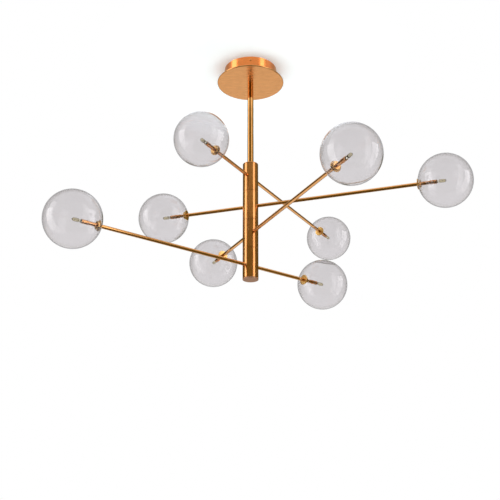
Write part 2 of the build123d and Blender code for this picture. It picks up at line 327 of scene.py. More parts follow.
@dataclass(frozen=True)
class Moulded:
    """Plastic, ceramic or rubber with a fine grain and slight changes of shade."""

    name: str
    colour: Colour
    roughness: float
    grain_scale: float = 900.0
    relief: float = 0.05 * MM
    relief_strength: float = 0.3
    patch_scale: float = 60.0
    variation: float = 0.05

    def make(self) -> bpy.types.Material:
        """Make the material.

        Returns:
            The finished material.
        """
        mixer = Mixer(self.name)
        mixer.set(Metallic=0.0, IOR=1.5)
        grain = mixer.noise(mixer.place(EVEN), self.grain_scale, 4.0)
        patches = mixer.noise(mixer.place(EVEN), self.patch_scale, 3.0)
        low = shade(self.colour, 1.0 - self.variation)
        high = shade(self.colour, 1.0 + self.variation)
        mixer.drive("Base Color", mixer.tint(patches, low, high))
        mixer.drive("Roughness", mixer.spread(grain, 0.85 * self.roughness, 1.15 * self.roughness))
        mixer.raise_by(grain, self.relief, self.relief_strength)
        return mixer.material


COPPER_BRASS: Colour = (0.78, 0.37, 0.135)
WARM_COPPER: Colour = (0.8, 0.335, 0.105)
GOLDEN_COPPER: Colour = (0.8, 0.37, 0.105)
DEEP_COPPER: Colour = (0.85, 0.25, 0.05)

PLATE_METAL = BrushedMetal(
    "copper_brass_plate", COPPER_BRASS, 0.26, Grain.ALONG_X, line_pitch=0.7 * MM, relief_strength=0.03
)
DRUM_METAL = BrushedMetal("copper_brass_drum", DEEP_COPPER, 0.2, Grain.AROUND, coat=0.5)
HUB_METAL = BrushedMetal("copper_brass_hub", WARM_COPPER, 0.19, relief_strength=0.04, coat=0.7)
STEM_METAL = BrushedMetal("copper_brass_stem", GOLDEN_COPPER, 0.07, coat=1.0)
ARM_METAL = BrushedMetal("copper_brass_arm", GOLDEN_COPPER, 0.12, Grain.ALONG_X, coat=0.8)
TURNED_METAL = BrushedMetal(
    "copper_brass_turned", COPPER_BRASS, 0.12, Grain.ALONG_X, line_length=8 * MM
)
FLANGE_METAL = BrushedMetal(
    "copper_brass_flange", (0.88, 0.54, 0.2), 0.3, Grain.AROUND, line_pitch=0.3 * MM
)
MATTE_METAL = BrushedMetal(
    "copper_brass_matte", (0.5, 0.29, 0.2), 0.5, Grain.ALONG_X, relief_strength=0.15, clouding=0.08
)
STEEL = BrushedMetal("turned_steel", (0.55, 0.55, 0.57), 0.32, Grain.AROUND, line_pitch=0.3 * MM)
ZINC = BrushedMetal(
    "zinc_steel", (0.62, 0.62, 0.64), 0.38, Grain.ALONG_X, line_length=12 * MM, clouding=0.14
)
ALUMINIUM = BrushedMetal("carrier_aluminium", (0.72, 0.72, 0.73), 0.34, Grain.AROUND)
TUNGSTEN = BrushedMetal(
    "lamp_filament", (0.34, 0.33, 0.32), 0.4, Grain.ALONG_X, line_length=2 * MM
)
GLOBE_GLASS = ClearGlass("globe_glass", (0.812, 0.796, 0.806))
LAMP_GLASS = ClearGlass("lamp_glass", (0.84, 0.8, 0.66), waviness=0.01, wave_scale=260.0)
CERAMIC = Moulded("socket_ceramic", (0.3, 0.27, 0.24), 0.75)
DRIVER_PLASTIC = Moulded("driver_plastic", (0.8, 0.8, 0.78), 0.5, grain_scale=1400.0)
TERMINAL_PLASTIC = Moulded("terminal_plastic", (0.72, 0.73, 0.7), 0.4)
NYLON = Moulded("washer_nylon", (0.05, 0.03, 0.02), 0.5)
SLEEVE = Moulded("wire_sleeve", (0.85, 0.83, 0.76), 0.6, grain_scale=2500.0)


# ---- mesh making ----


def rounded(corners: list[Corner], steps: int = 5) -> list[Point]:
    """Round the corners of a closed outline.

    Args:
        corners: Each corner's distance along the axis, distance from the axis and rounding.
        steps: Points in each rounded corner.

    Returns:
        The outline's points.
    """
    points: list[Point] = []
    for index, (along, out, rounding) in enumerate(corners):
        corner = Vector((along, out))
        if rounding <= 0.0:
            points.append((along, out))
            continue
        before = Vector(corners[index - 1][:2])
        after = Vector(corners[(index + 1) % len(corners)][:2])
        start = corner + (before - corner).normalized() * rounding
        end = corner + (after - corner).normalized() * rounding
        for step in range(steps):
            part = step / (steps - 1)
            middle = start * (1 - part) ** 2 + corner * 2 * part * (1 - part) + end * part**2
            points.append((middle.x, middle.y))
    return points


def turned(name: str, outline: list[Point], sides: int, closed: bool = True) -> bpy.types.Object:
    """Turn an outline about the local X axis.

    Args:
        name: Name of the new piece.
        outline: Distance along the axis and distance from it, point by point.
        sides: How many steps a full turn has.
        closed: Whether the last point joins the first; an open outline starts and ends on the axis.

    Returns:
        The new piece, at the origin.
    """
    made = bmesh.new()
    rings = []
    for along, out in outline:
        if out < ON_AXIS:
            rings.append([made.verts.new((along, 0.0, 0.0))] * sides)
            continue
        angles = [2 * math.pi * step / sides for step in range(sides)]
        rings.append([made.verts.new((along, out * math.cos(a), out * math.sin(a))) for a in angles])
    pairs = list(zip(rings, rings[1:]))
    if closed:
        pairs.append((rings[-1], rings[0]))
    for first, second in pairs:
        for step in range(sides):
            following = (step + 1) % sides
            loop = [first[step], first[following], second[following], second[step]]
            corners = list(dict.fromkeys(loop))
            if len(corners) > 2:
                made.faces.new(corners)
    return finish_mesh(name, made)


def finish_mesh(name: str, made: bmesh.types.BMesh) -> bpy.types.Object:
    """Turn a finished bmesh into a smooth-shaded piece.

    Args:
        name: Name of the new piece.
        made: The mesh, which is freed.

    Returns:
        The new piece, linked to the scene.
    """
    bmesh.ops.recalc_face_normals(made, faces=made.faces)
    mesh = bpy.data.meshes.new(name)
    made.to_mesh(mesh)
    made.free()
    mesh.shade_smooth()
    mesh.set_sharp_from_angle(angle=SMOOTH_ANGLE)
    piece = bpy.data.objects.new(name, mesh)
    bpy.context.scene.collection.objects.link(piece)
    return piece


def tube_along(name: str, points: list[Vector], radius: float, sides: int = 10) -> bpy.types.Object:
    """Sweep a round wire along points.

    Args:
        name: Name of the new piece.
        points: The wire's centre line.
        radius: Radius of the wire.
        sides: Sides of its section.

    Returns:
        The new piece, with closed ends.
    """
    made = bmesh.new()
    rings = []
    normal = Vector((0.0, 0.0, 1.0))
    for index, point in enumerate(points):
        ahead = points[min(index + 1, len(points) - 1)]
        behind = points[max(index - 1, 0)]
        along = (ahead - behind).normalized()
        normal = (normal - along * normal.dot(along)).normalized()
        if normal.length < 0.5:
            normal = along.orthogonal().normalized()
        across = along.cross(normal)
        ring = []
        for step in range(sides):
            angle = 2 * math.pi * step / sides
            spot = point + (normal * math.cos(angle) + across * math.sin(angle)) * radius
            ring.append(made.verts.new(spot))
        rings.append(ring)
    for first, second in zip(rings, rings[1:]):
        for step in range(sides):
            following = (step + 1) % sides
            made.faces.new([first[step], first[following], second[following], second[step]])
    made.faces.new(rings[0])
    made.faces.new(rings[-1])
    return finish_mesh(name, made)


def rounded_block(name: str, low: Vector, high: Vector, edge: float, steps: int = 3) -> bpy.types.Object:
    """Make a block with rounded edges.

    Args:
        name: Name of the new piece.
        low: Lowest corner.
        high: Highest corner.
        edge: Rounding of its edges.
        steps: Segments of the rounding.

    Returns:
        The new piece.
    """
    made = bmesh.new()
    size = high - low
    place = Matrix.Translation((low + high) / 2) @ Matrix.Diagonal((*size, 1.0))
    bmesh.ops.create_cube(made, size=1.0, matrix=place)
    bmesh.ops.bevel(
        made, geom=list(made.edges), offset=edge, segments=steps, affect="EDGES", profile=0.5
    )
    return finish_mesh(name, made)


def join(parts: list[bpy.types.Object]) -> bpy.types.Object:
    """Join pieces made in the same place into the first of them.

    Args:
        parts: Pieces at the origin.

    Returns:
        The first piece, now holding every mesh.
    """
    made = bmesh.new()
    for part in parts:
        made.from_mesh(part.data)
    mesh = parts[0].data
    made.to_mesh(mesh)
    made.free()
    mesh.shade_smooth()
    mesh.set_sharp_from_angle(angle=SMOOTH_ANGLE)
    for part in parts[1:]:
        bpy.data.objects.remove(part)
    return parts[0]


def turn_inside_out(piece: bpy.types.Object) -> None:
    """Flip a piece's faces, so that it bounds a hollow.

    Args:
        piece: The piece to flip.
    """
    made = bmesh.new()
    made.from_mesh(piece.data)
    bmesh.ops.reverse_faces(made, faces=made.faces)
    made.to_mesh(piece.data)
    made.free()


def dress(piece: bpy.types.Object, material: bpy.types.Material) -> None:
    """Give a piece one material.

    Args:
        piece: A new piece or a node of the frame.
        material: The material for every slot.
    """
    if not piece.material_slots:
        piece.data.materials.append(material)
    for slot in piece.material_slots:
        slot.material = material


def dress_node(node: str, material: bpy.types.Material) -> None:
    """Give a carried-over node of the frame its material.

    Args:
        node: Name of the node.
        material: Its material.
    """
    dress(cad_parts[node], material)
    LOG.info("%s: node dressed in %s", node, material.name)


def settle(piece: bpy.types.Object, body: str, slot: str, *nodes: str) -> None:
    """Make a piece ride on its body, hide the nodes that it stands for, and log it with its slot.

    Args:
        piece: The new piece, in its place.
        body: The body that it moves with.
        slot: The record's material slot.
        nodes: Nodes of the frame that the piece stands for.
    """
    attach(piece, body)
    if nodes:
        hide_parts(*nodes)
    LOG.info("%s: rides on %s, finish %s, stands for %s", piece.name, body, slot, nodes or "nothing")


def screw_head(name: str, radius: float, height: float, slot_width: float) -> bpy.types.Object:
    """Make a domed screw head with a cross recess, its axis along local X.

    Args:
        name: Name of the new piece.
        radius: Radius of the head.
        height: Height of its dome.
        slot_width: Width of each arm of the recess.

    Returns:
        The new piece, with its flat back at the origin.
    """
    rings = 14
    sides = 64
    rim = 0.35 * height
    recess_reach = 0.62 * radius
    recess_top = 0.4 * height
    recess_floor = 0.3 * height
    dome = [(0.0, 0.0), (0.0, radius), (rim, radius)]
    for step in range(1, rings + 1):
        part = step / rings
        out = radius * (1 - part)
        dome.append((rim + (height - rim) * math.sqrt(1 - (out / radius) ** 2), out))
    piece = turned(name, dome, sides, closed=False)
    for vertex in piece.data.vertices:
        along, across, up = vertex.co
        narrow = min(abs(across), abs(up)) < slot_width / 2
        near = max(abs(across), abs(up)) < recess_reach
        if along > recess_top and narrow and near:
            vertex.co.x = recess_floor
    return piece


# ---- canopy ----


@dataclass
class Canopy:
    """Bracket, drum, plate, driver and terminal block at the ceiling."""

    body: str = "hanger"
    side_screw_slot: float = 0.9 * MM
    shank_radius: float = 2.0 * MM
    shank_length: float = 10.0 * MM
    shank_edge: float = 0.5 * MM
    shank_sides: int = 32
    driver_edge: float = 2.6 * MM
    lid_height: float = 1.2 * MM
    lid_inset: float = 1.6 * MM
    lid_edge: float = 0.5 * MM
    terminal_screw_radius: float = 2.0 * MM
    terminal_screw_height: float = 1.4 * MM
    terminal_screw_slot: float = 0.8 * MM
    terminal_screw_depth: float = 2.9 * MM
    terminal_pitch: float = 10.0 * MM

    def build(self) -> None:
        """Build every piece of the canopy and dress its nodes."""
        self.dress_shell()
        self.build_side_screws()
        self.build_driver()
        self.build_terminal_screws()

    def dress_shell(self) -> None:
        """Dress the spun and pressed parts."""
        dress_node("canopy_plate", PLATE_METAL.make())
        dress_node("canopy_drum", DRUM_METAL.make())
        dress_node("ceiling_bracket", ZINC.make())
        dress_node("terminal_block", TERMINAL_PLASTIC.make())

    def build_side_screws(self) -> None:
        """Build the two pan-head screws that hold the drum to the bracket."""
        low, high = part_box("canopy_side_screws")
        level = (low.z + high.z) / 2
        radius = (high.z - low.z) / 2
        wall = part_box("canopy_drum")[1].y
        height = high.y - wall
        metal = TURNED_METAL.make()
        section = rounded([
            (-self.shank_length, 0.0, 0.0),
            (-self.shank_length, self.shank_radius, self.shank_edge),
            (0.0, self.shank_radius, 0.0),
            (0.0, 0.0, 0.0),
        ])
        for place, side in (("front", -1), ("back", 1)):
            piece = screw_head(f"canopy_screw_{place}", radius, height, self.side_screw_slot)
            join([piece, turned("shank", section, self.shank_sides, closed=False)])
            piece.rotation_euler = (0.0, 0.0, side * math.pi / 2)
            piece.location = (0.0, side * wall, level)
            dress(piece, metal)
            settle(piece, self.body, "copper_brass", "canopy_side_screws")

    def build_driver(self) -> None:
        """Build the driver's case and its screwed lid."""
        low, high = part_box("led_driver")
        plastic = DRIVER_PLASTIC.make()
        step = Vector((self.lid_inset, self.lid_inset, 0.0))
        lid_floor = high.z - self.lid_height
        case = rounded_block("driver_case", low, Vector((high.x, high.y, lid_floor)), self.driver_edge)
        dress(case, plastic)
        settle(case, self.body, "driver_plastic", "led_driver")
        lid = rounded_block(
            "driver_lid",
            Vector((low.x, low.y, lid_floor - self.lid_height)) + step,
            high - step,
            self.lid_edge,
        )
        dress(lid, plastic)
        settle(lid, self.body, "driver_plastic", "led_driver")

    def build_terminal_screws(self) -> None:
        """Build the clamping screws in the terminal block's wells."""
        low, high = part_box("terminal_block")
        steel = STEEL.make()
        middle = (low + high) / 2
        level = high.z - self.terminal_screw_depth
        for pole in (-1, 0, 1):
            piece = screw_head(
                f"terminal_screw_{pole + 2}",
                self.terminal_screw_radius,
                self.terminal_screw_height,
                self.terminal_screw_slot,
            )
            piece.rotation_euler = (0.0, -math.pi / 2, 0.0)
            piece.location = (middle.x, middle.y + pole * self.terminal_pitch, level)
            dress(piece, steel)
            settle(piece, self.body, "turned_steel")


# ---- stem and the still part of the hub ----


@dataclass
class StemAndHub:
    """Stem tube with its fittings, and the parts of the hub that stand still."""

    body: str = "hanger"

    def build(self) -> None:
        """Dress every node of the stem and of the still part of the hub."""
        dress_node("stem_tube", STEM_METAL.make())
        steel = STEEL.make()
        for node in ("stem_top_bush", "threaded_nipple", "nipple_nut", "hub_spindle", "spindle_nut"):
            dress_node(node, steel)
        dress_node("stem_leads", SLEEVE.make())
        dress_node("friction_washers", NYLON.make())
        dress_node("hub_top_cap", HUB_METAL.make())
        dress_node("hub_bottom_cap", MATTE_METAL.make())


# ---- arms ----


# Sections of turned pieces, in millimetres: place from the globe's centre towards the hub,
# radius and, for the metal pieces, how far the corner is rounded.
FLANGE_SECTION: tuple[Corner, ...] = (
    (76.0, 5.05, 0.0), (76.0, 15.0, 0.6), (74.4, 15.0, 0.6),
    (74.4, 11.0, 0.2), (67.0, 11.0, 0.8), (67.0, 5.05, 0.0),
)
HOLDER_SECTION: tuple[Corner, ...] = (
    (88.0, 3.2, 0.0), (88.0, 3.95, 0.3), (76.0, 3.95, 0.0), (76.0, 5.0, 0.0),
    (41.5, 5.0, 0.0), (41.5, 5.9, 0.25), (39.5, 5.9, 0.25), (39.5, 5.4, 0.0),
    (28.6, 5.4, 0.1), (28.3, 5.1, 0.1), (27.9, 5.1, 0.1), (27.6, 5.4, 0.1),
    (24.0, 5.4, 0.35), (24.0, 4.5, 0.2), (38.0, 4.5, 0.0), (38.0, 3.2, 0.0),
)


@dataclass(frozen=True)
class LampShell:
    """One surface of the capsule lamp: a stepped base, a dome and a tip, in millimetres."""

    base: tuple[Point, ...]
    dome_place: float
    dome_depth: float
    dome_least: float
    dome_swell: float
    tip: tuple[Point, ...]
    dome_steps: int = 9

    def section(self) -> list[Point]:
        """Work out the surface's section.

        Returns:
            Places from the globe's centre towards the hub, with their radii.
        """
        dome: list[Point] = []
        for step in range(1, self.dome_steps):
            angle = math.pi / 2 * step / self.dome_steps
            place = self.dome_place - self.dome_depth * math.sin(angle)
            dome.append((place, self.dome_least + self.dome_swell * math.cos(angle)))
        return [*self.base, *dome, *self.tip]


LAMP_OUTSIDE = LampShell(
    base=(
        (21.9, 0.0), (21.9, 3.2), (21.6, 3.5), (18.0, 3.6), (17.4, 3.9),
        (16.9, 4.35), (16.2, 4.55), (15.0, 4.6), (3.4, 4.6),
    ),
    dome_place=3.0,
    dome_depth=4.0,
    dome_least=1.1,
    dome_swell=3.45,
    tip=((-1.6, 1.0), (-2.6, 0.75), (-3.5, 0.62), (-3.9, 0.35), (-4.0, 0.0)),
)
LAMP_HOLLOW = LampShell(
    base=((16.4, 0.0), (16.2, 2.4), (15.4, 3.7), (14.4, 4.0), (3.4, 4.0)),
    dome_place=3.2,
    dome_depth=3.2,
    dome_least=0.5,
    dome_swell=3.5,
    tip=((-0.2, 0.0),),
)


@dataclass(frozen=True)
class Filament:
    """The lamp's coil, across the lamp on two wires that stand in its base, in millimetres."""

    turns: int = 14
    steps: int = 10
    coil_place: float = 7.0
    foot_place: float = 21.0
    foot_aside: float = 2.0
    bend_aside: float = 2.2
    coil_radius: float = 0.55
    wire_radius: float = 0.11
    wire_sides: int = 6

    def path(self) -> list[Corner]:
        """Work out the wire's path.

        Returns:
            Its points, each as place towards the hub, distance aside and height.
        """
        count = self.turns * self.steps
        path: list[Corner] = [
            (self.foot_place, -self.foot_aside, 0.0),
            (self.coil_place, -self.bend_aside, 0.0),
        ]
        for step in range(count + 1):
            angle = 2 * math.pi * step / self.steps
            place = self.coil_place - self.coil_radius * math.cos(angle)
            aside = self.foot_aside * (2 * step / count - 1)
            path.append((place, aside, self.coil_radius * math.sin(angle)))
        path.append((self.coil_place, self.bend_aside, 0.0))
        path.append((self.foot_place, self.foot_aside, 0.0))
        return path


@dataclass
class GlobeEnd:
    """Everything at one end of an arm, made along X from the hub's axis."""

    number: int
    side: Side
    level: float
    bearing: float
    reach: float
    globe_radius: float
    glass_wall: float = 1.6 * MM
    hole_radius: float = 11.3 * MM
    globe_sides: int = 128
    globe_rows: int = 64
    lip_steps: int = 7
    flange_sides: int = 72
    holder_sides: int = 48
    pin_ends: Point = (29.5, 20.5)
    pin_aside: float = 2.0
    pin_radius: float = 0.45
    pin_sides: int = 16

    @property
    def body(self) -> str:
        """Give the name of the body that the arm rides on."""
        return f"arm_{self.number}"

    def put(self, piece: bpy.types.Object, slot: str, *nodes: str) -> None:
        """Move a piece from the origin to its place on the arm and let it ride.

        Args:
            piece: The new piece.
            slot: The record's material slot.
            nodes: Nodes of the frame that it stands for.
        """
        place = Matrix.Translation((0.0, 0.0, self.level)) @ Matrix.Rotation(self.bearing, 4, "Z")
        if slot in ("globe_glass", "lamp_glass"):
            piece.data.transform(place)
        else:
            piece.matrix_world = place
        settle(piece, self.body, slot, *nodes)

    def name(self, what: str) -> str:
        """Give a piece's name on this end."""
        return f"{what}_{self.side.value}_{self.number}"

    def at(self, distance: float) -> float:
        """Give the place along the arm of a distance from the globe's centre to the hub."""
        return self.reach - distance

    def build(self, finishes: dict[str, bpy.types.Material]) -> None:
        """Build every piece of this end.

        Args:
            finishes: The materials of the arm's pieces, by use.
        """
        self.build_globe(finishes["globe"])
        self.turn_metal(
            "globe_flange",
            FLANGE_SECTION,
            self.flange_sides,
            finishes["flange"],
            f"globe_flanges_{self.number}",
        )
        self.turn_metal(
            "lamp_holder",
            HOLDER_SECTION,
            self.holder_sides,
            finishes["turned"],
            f"lamp_holders_{self.number}",
        )
        self.build_lamp(finishes["lamp"], finishes["filament"], finishes["steel"])

    def build_globe(self, glass: bpy.types.Material) -> None:
        """Build the double-walled globe with a fire-polished lip round its hole.

        Args:
            glass: The globe's glass.
        """
        lip_radius = self.glass_wall / 2
        middle = self.globe_radius - lip_radius
        start = math.asin((self.hole_radius + lip_radius) / middle)
        turns = [(math.pi - start) * step / self.globe_rows for step in range(self.globe_rows + 1)]
        inner_radius = self.globe_radius - self.glass_wall
        inner = [self.globe_point(inner_radius, math.pi - turn) for turn in turns]
        outer = [self.globe_point(self.globe_radius, start + turn) for turn in turns]
        lip_centre = Vector(self.globe_point(middle, start))
        outward = Vector((-math.cos(start), math.sin(start)))
        aside = Vector((-math.sin(start), -math.cos(start)))
        lip: list[Point] = []
        for step in range(1, self.lip_steps):
            turn = math.pi * step / self.lip_steps
            offset = aside * math.sin(turn) - outward * math.cos(turn)
            lip.append(tuple(lip_centre + offset * lip_radius))
        outline = inner + lip + outer
        piece = turned(self.name("clear_globe"), outline, self.globe_sides, closed=False)
        dress(piece, glass)
        self.put(piece, "globe_glass", f"{self.side.value}_glass_globe_{self.number}")

    def globe_point(self, radius: float, angle: float) -> Point:
        """Give a point of the globe's section, with the angle counted from the hub's side."""
        return (self.reach - radius * math.cos(angle), max(0.0, radius * math.sin(angle)))

    def on_arm(self, path: Iterable[Corner]) -> list[Vector]:
        """Turn places in millimetres from the globe's centre into places along the arm."""
        return [Vector((self.at(place * MM), aside * MM, up * MM)) for place, aside, up in path]

    def turn_metal(
        self, what: str, section: tuple[Corner, ...], sides: int, metal: bpy.types.Material, node: str
    ) -> None:
        """Turn a metal piece from its section.

        Args:
            what: What the piece is.
            section: One of the tables of sections.
            sides: How many sides the piece has round the arm.
            metal: The turned metal.
            node: The node that it stands for.
        """
        outline = rounded([(self.at(place * MM), out * MM, edge * MM) for place, out, edge in section])
        piece = turned(self.name(what), outline, sides)
        dress(piece, metal)
        self.put(piece, "copper_brass", node)

    def turn_shell(self, name: str, shell: LampShell) -> bpy.types.Object:
        """Turn one surface of the lamp."""
        outline = [(self.at(place * MM), out * MM) for place, out in shell.section()]
        return turned(name, outline, self.holder_sides, closed=False)

    def build_lamp(
        self, glass: bpy.types.Material, filament: bpy.types.Material, steel: bpy.types.Material
    ) -> None:
        """Build the capsule lamp: hollow envelope, pinch, filament and pins.

        Args:
            glass: The lamp's glass.
            filament: The filament's metal.
            steel: The pins' metal.
        """
        envelope = self.turn_shell(self.name("lamp_envelope"), LAMP_OUTSIDE)
        cavity = self.turn_shell("cavity", LAMP_HOLLOW)
        turn_inside_out(cavity)
        join([envelope, cavity])
        dress(envelope, glass)
        self.put(envelope, "lamp_glass", f"lamp_capsules_{self.number}")
        wire = Filament()
        coil = tube_along(
            self.name("lamp_filament"), self.on_arm(wire.path()), wire.wire_radius * MM, wire.wire_sides
        )
        dress(coil, filament)
        self.put(coil, "turned_steel")
        for mark, side in (("a", -1), ("b", 1)):
            path = self.on_arm((place, side * self.pin_aside, 0.0) for place in self.pin_ends)
            pin = tube_along(self.name(f"lamp_pin_{mark}"), path, self.pin_radius * MM, self.pin_sides)
            dress(pin, steel)
            self.put(pin, "turned_steel")


@dataclass
class Arm:
    """One turning segment of the hub with its two-ended arm."""

    number: int
    ends: list[GlobeEnd] = field(default_factory=list)

    def __post_init__(self) -> None:
        """Read the arm's level, bearing and reaches from its globes."""
        for side in Side:
            low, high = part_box(f"{side.value}_glass_globe_{self.number}")
            centre = (low + high) / 2
            self.ends.append(
                GlobeEnd(
                    number=self.number,
                    side=side,
                    level=centre.z,
                    bearing=math.atan2(centre.y, centre.x),
                    reach=math.hypot(centre.x, centre.y),
                    globe_radius=(high.z - low.z) / 2,
                )
            )

    def build(self) -> None:
        """Dress the arm's nodes and build both of its ends."""
        bearing = self.ends[0].bearing
        tube = ARM_METAL.make(bearing)
        dress_node(f"long_arm_tube_{self.number}", tube)
        dress_node(f"short_arm_tube_{self.number}", tube)
        dress_node(f"hub_sleeve_{self.number}", HUB_METAL.another(self.number).make())
        dress_node(f"arm_carrier_{self.number}", ALUMINIUM.make())
        dress_node(f"lamp_sockets_{self.number}", CERAMIC.make())
        dress_node(f"arm_leads_{self.number}", SLEEVE.make())
        finishes = {
            "globe": GLOBE_GLASS.make(),
            "turned": TURNED_METAL.make(),
            "flange": FLANGE_METAL.make(),
            "lamp": LAMP_GLASS.make(),
            "filament": TUNGSTEN.make(),
            "steel": STEEL.make(),
        }
        for end in self.ends:
            end.build(finishes)


# ---- studio ----


class Wiring:
    """A node tree being wired, with short calls for sums, ramps and what a ray has met."""

    def __init__(self, tree: bpy.types.NodeTree) -> None:
        """Start on a tree, with one source of what each ray has met.

        Args:
            tree: Node tree of the world or of a material.
        """
        self.nodes = tree.nodes
        self.links = tree.links
        self.rays = self.nodes.new("ShaderNodeLightPath").outputs

    def feed(self, socket: Source, value: Source | float | Tone) -> None:
        """Join an output to a socket, or set a plain value on it.

        Args:
            socket: The socket.
            value: The output or the plain value.
        """
        if isinstance(value, Source):
            self.links.new(value, socket)
        else:
            socket.default_value = value

    def sum(self, operation: str, *values: Source | float, clamp: bool = False) -> Source:
        """Add one step of arithmetic.

        Args:
            operation: The kind of step.
            values: What goes into it, in order.
            clamp: Whether the result is kept from zero to one.

        Returns:
            The result.
        """
        node = self.nodes.new("ShaderNodeMath")
        node.operation = operation
        node.use_clamp = clamp
        for socket, value in zip(node.inputs, values):
            self.feed(socket, value)
        return node.outputs["Value"]

    def dot(self, direction: Source, axis: Corner) -> Source:
        """Measure a direction along an axis.

        Args:
            direction: The direction.
            axis: The axis, one unit long.

        Returns:
            The measure.
        """
        node = self.nodes.new("ShaderNodeVectorMath")
        node.operation = "DOT_PRODUCT"
        node.inputs[1].default_value = axis
        self.links.new(direction, node.inputs[0])
        return node.outputs["Value"]

    def ramp(self, source: Source, steps: tuple[Point, ...]) -> Source:
        """Turn one part of a direction into a brightness.

        Args:
            source: The part, from -1 to 1.
            steps: Values of the part, each with its brightness.

        Returns:
            The brightness.
        """
        scaled = self.nodes.new("ShaderNodeMapRange")
        scaled.inputs["From Min"].default_value = -1.0
        scaled.inputs["From Max"].default_value = 1.0
        self.links.new(source, scaled.inputs["Value"])
        node = self.nodes.new("ShaderNodeValToRGB")
        self.links.new(scaled.outputs["Result"], node.inputs["Fac"])
        stops = node.color_ramp.elements
        while len(stops) < len(steps):
            stops.new(0.5)
        for stop, (place, value) in zip(stops, steps):
            stop.position = (place + 1.0) / 2.0
            stop.color = (value, value, value, 1.0)
        return node.outputs["Color"]

    def background(self, colour: Source | Tone, strength: Source | float) -> Source:
        """Add a background shader.

        Args:
            colour: Its colour.
            strength: Its strength.

        Returns:
            The shader.
        """
        node = self.nodes.new("ShaderNodeBackground")
        self.feed(node.inputs["Color"], colour)
        self.feed(node.inputs["Strength"], strength)
        return node.outputs["Background"]

    def mix(self, share: Source, first: Source, second: Source) -> Source:
        """Mix two shaders.

        Args:
            share: The second shader's share.
            first: The first shader.
            second: The second shader.

        Returns:
            The mixed shader.
        """
        node = self.nodes.new("ShaderNodeMixShader")
        for socket, value in zip(node.inputs, (share, first, second)):
            self.links.new(value, socket)
        return node.outputs["Shader"]

    def mirrored(self) -> Source:
        """Tell what is mirrored from what is looked at straight or through glass.

        Light that only runs inside one glass wall counts as looked at straight.

        Returns:
            The value, zero or one.
        """
        bounces = self.sum("ADD", self.rays["Glossy Depth"], self.rays["Diffuse Depth"], clamp=True)
        crossings = self.rays["Transmission Depth"]
        in_one_wall = self.sum("COMPARE", crossings, WALL_CROSSINGS, ONE_WALL_CROSSINGS - WALL_CROSSINGS)
        return self.sum("SUBTRACT", bounces, in_one_wall, clamp=True)

    def on_polished_glass(self) -> Source:
        """Tell what polished glass mirrors, either off its skin or from inside its wall.

        Returns:
            The value, zero or one.
        """
        shallow = self.sum("LESS_THAN", self.rays["Transmission Depth"], ONE_WALL_CROSSINGS)
        sharp = self.sum("MULTIPLY", shallow, self.rays["Is Singular Ray"])
        return self.sum("MULTIPLY", sharp, self.rays["Glossy Depth"], clamp=True)

    def window(self, direction: Source, bearing: float, middle: float, half: Point) -> Source:
        """Mark out an upright window in the directions around the object.

        Args:
            direction: The direction looked in.
            bearing: Where the window stands, in degrees.
            middle: The height of its middle.
            half: Half its width and half its height.

        Returns:
            The value, one within the window and zero outside.
        """
        angle = math.radians(bearing)
        aside = self.dot(direction, (math.cos(angle), math.sin(angle), 0.0))
        up = self.dot(direction, (0.0, 0.0, 1.0))
        ahead = self.dot(direction, (math.sin(angle), -math.cos(angle), 0.0))
        marked = self.sum("GREATER_THAN", ahead, 0.0)
        for part, centre, reach in ((aside, 0.0, half[0]), (up, middle, half[1])):
            marked = self.sum("MULTIPLY", marked, self.sum("COMPARE", part, centre, reach))
        return marked

    def two_windows(self, direction: Source, bearings: Point, middle: float, half: Point) -> Source:
        """Mark out two windows alike, as one value."""
        marks = [self.window(direction, bearing, middle, half) for bearing in bearings]
        return self.sum("MAXIMUM", *marks)


def hang_lamp(light: bpy.types.Light, spot: Corner, rotation: Corner) -> bpy.types.Object:
    """Hang a lamp that is neither looked at nor met by light that has gone through glass.

    Args:
        light: The light.
        spot: Where it hangs.
        rotation: How it is turned.

    Returns:
        The lamp.
    """
    lamp = bpy.data.objects.new(light.name, light)
    lamp.location = spot
    lamp.rotation_euler = Euler(rotation, "XYZ")
    lamp.visible_camera = False
    lamp.visible_transmission = False
    bpy.context.scene.collection.objects.link(lamp)
    return lamp


@dataclass(frozen=True)
class SoftBox:
    """A large soft light that stands upright around the object."""

    name: str
    bearing: float
    width: float
    radiance: float
    low: float = -7.0
    high: float = 4.5
    distance: float = 6.0

    def build(self) -> None:
        """Stand the light up, facing the stem."""
        light = bpy.data.lights.new(self.name, "AREA")
        light.shape = "RECTANGLE"
        light.size = self.width
        light.size_y = self.high - self.low
        light.energy = self.radiance * math.pi * light.size * light.size_y
        angle = math.radians(self.bearing)
        east = self.distance * math.sin(angle)
        north = -self.distance * math.cos(angle)
        hang_lamp(light, (east, north, (self.low + self.high) / 2), (math.pi / 2, 0.0, angle))


